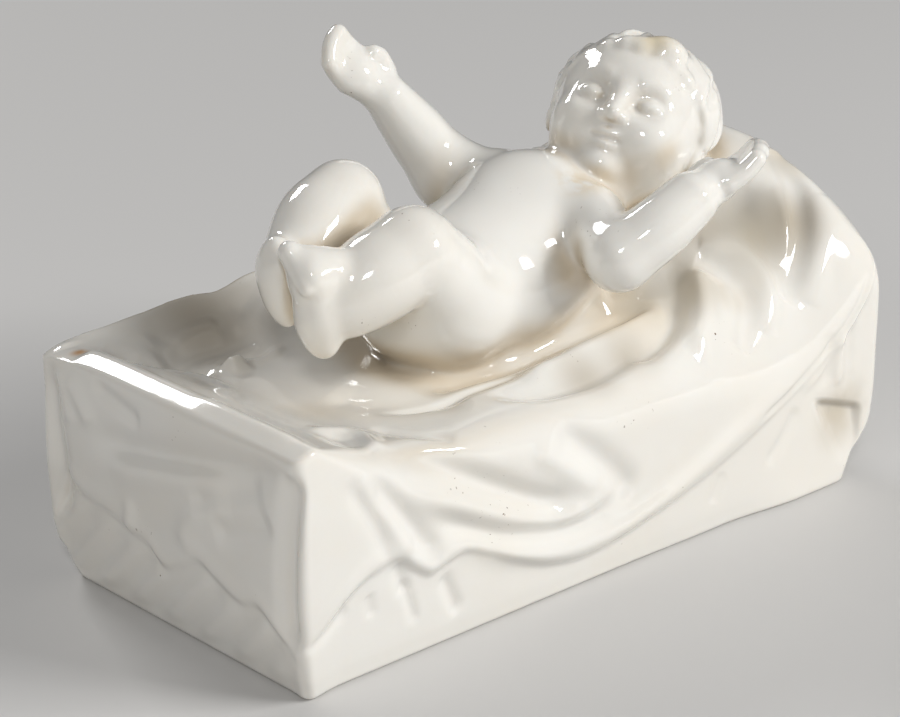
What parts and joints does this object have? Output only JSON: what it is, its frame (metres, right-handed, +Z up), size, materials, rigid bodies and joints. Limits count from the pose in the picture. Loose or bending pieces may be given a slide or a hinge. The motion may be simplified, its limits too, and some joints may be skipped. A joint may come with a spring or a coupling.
{
  "type": "glazed porcelain crib figure of a lying infant",
  "caption": "Small white glazed porcelain figure of an infant lying on a cloth-draped rectangular bed, cast in one piece.",
  "frame": {"origin": "middle of the flat underside, below the middle of the length and width", "axes": "+X along the bed toward the child's head, +Z up, +Y toward the child's right hand"},
  "size_m": [0.13, 0.0638, 0.08],
  "materials": {
    "glazed_porcelain": "white glazed porcelain: clear glossy glaze over a warm white body, cream where the glaze pools, a few small brown specks"
  },
  "bodies": {
    "root": {"figurine": "glazed_porcelain"}
  },
  "joints": []
}
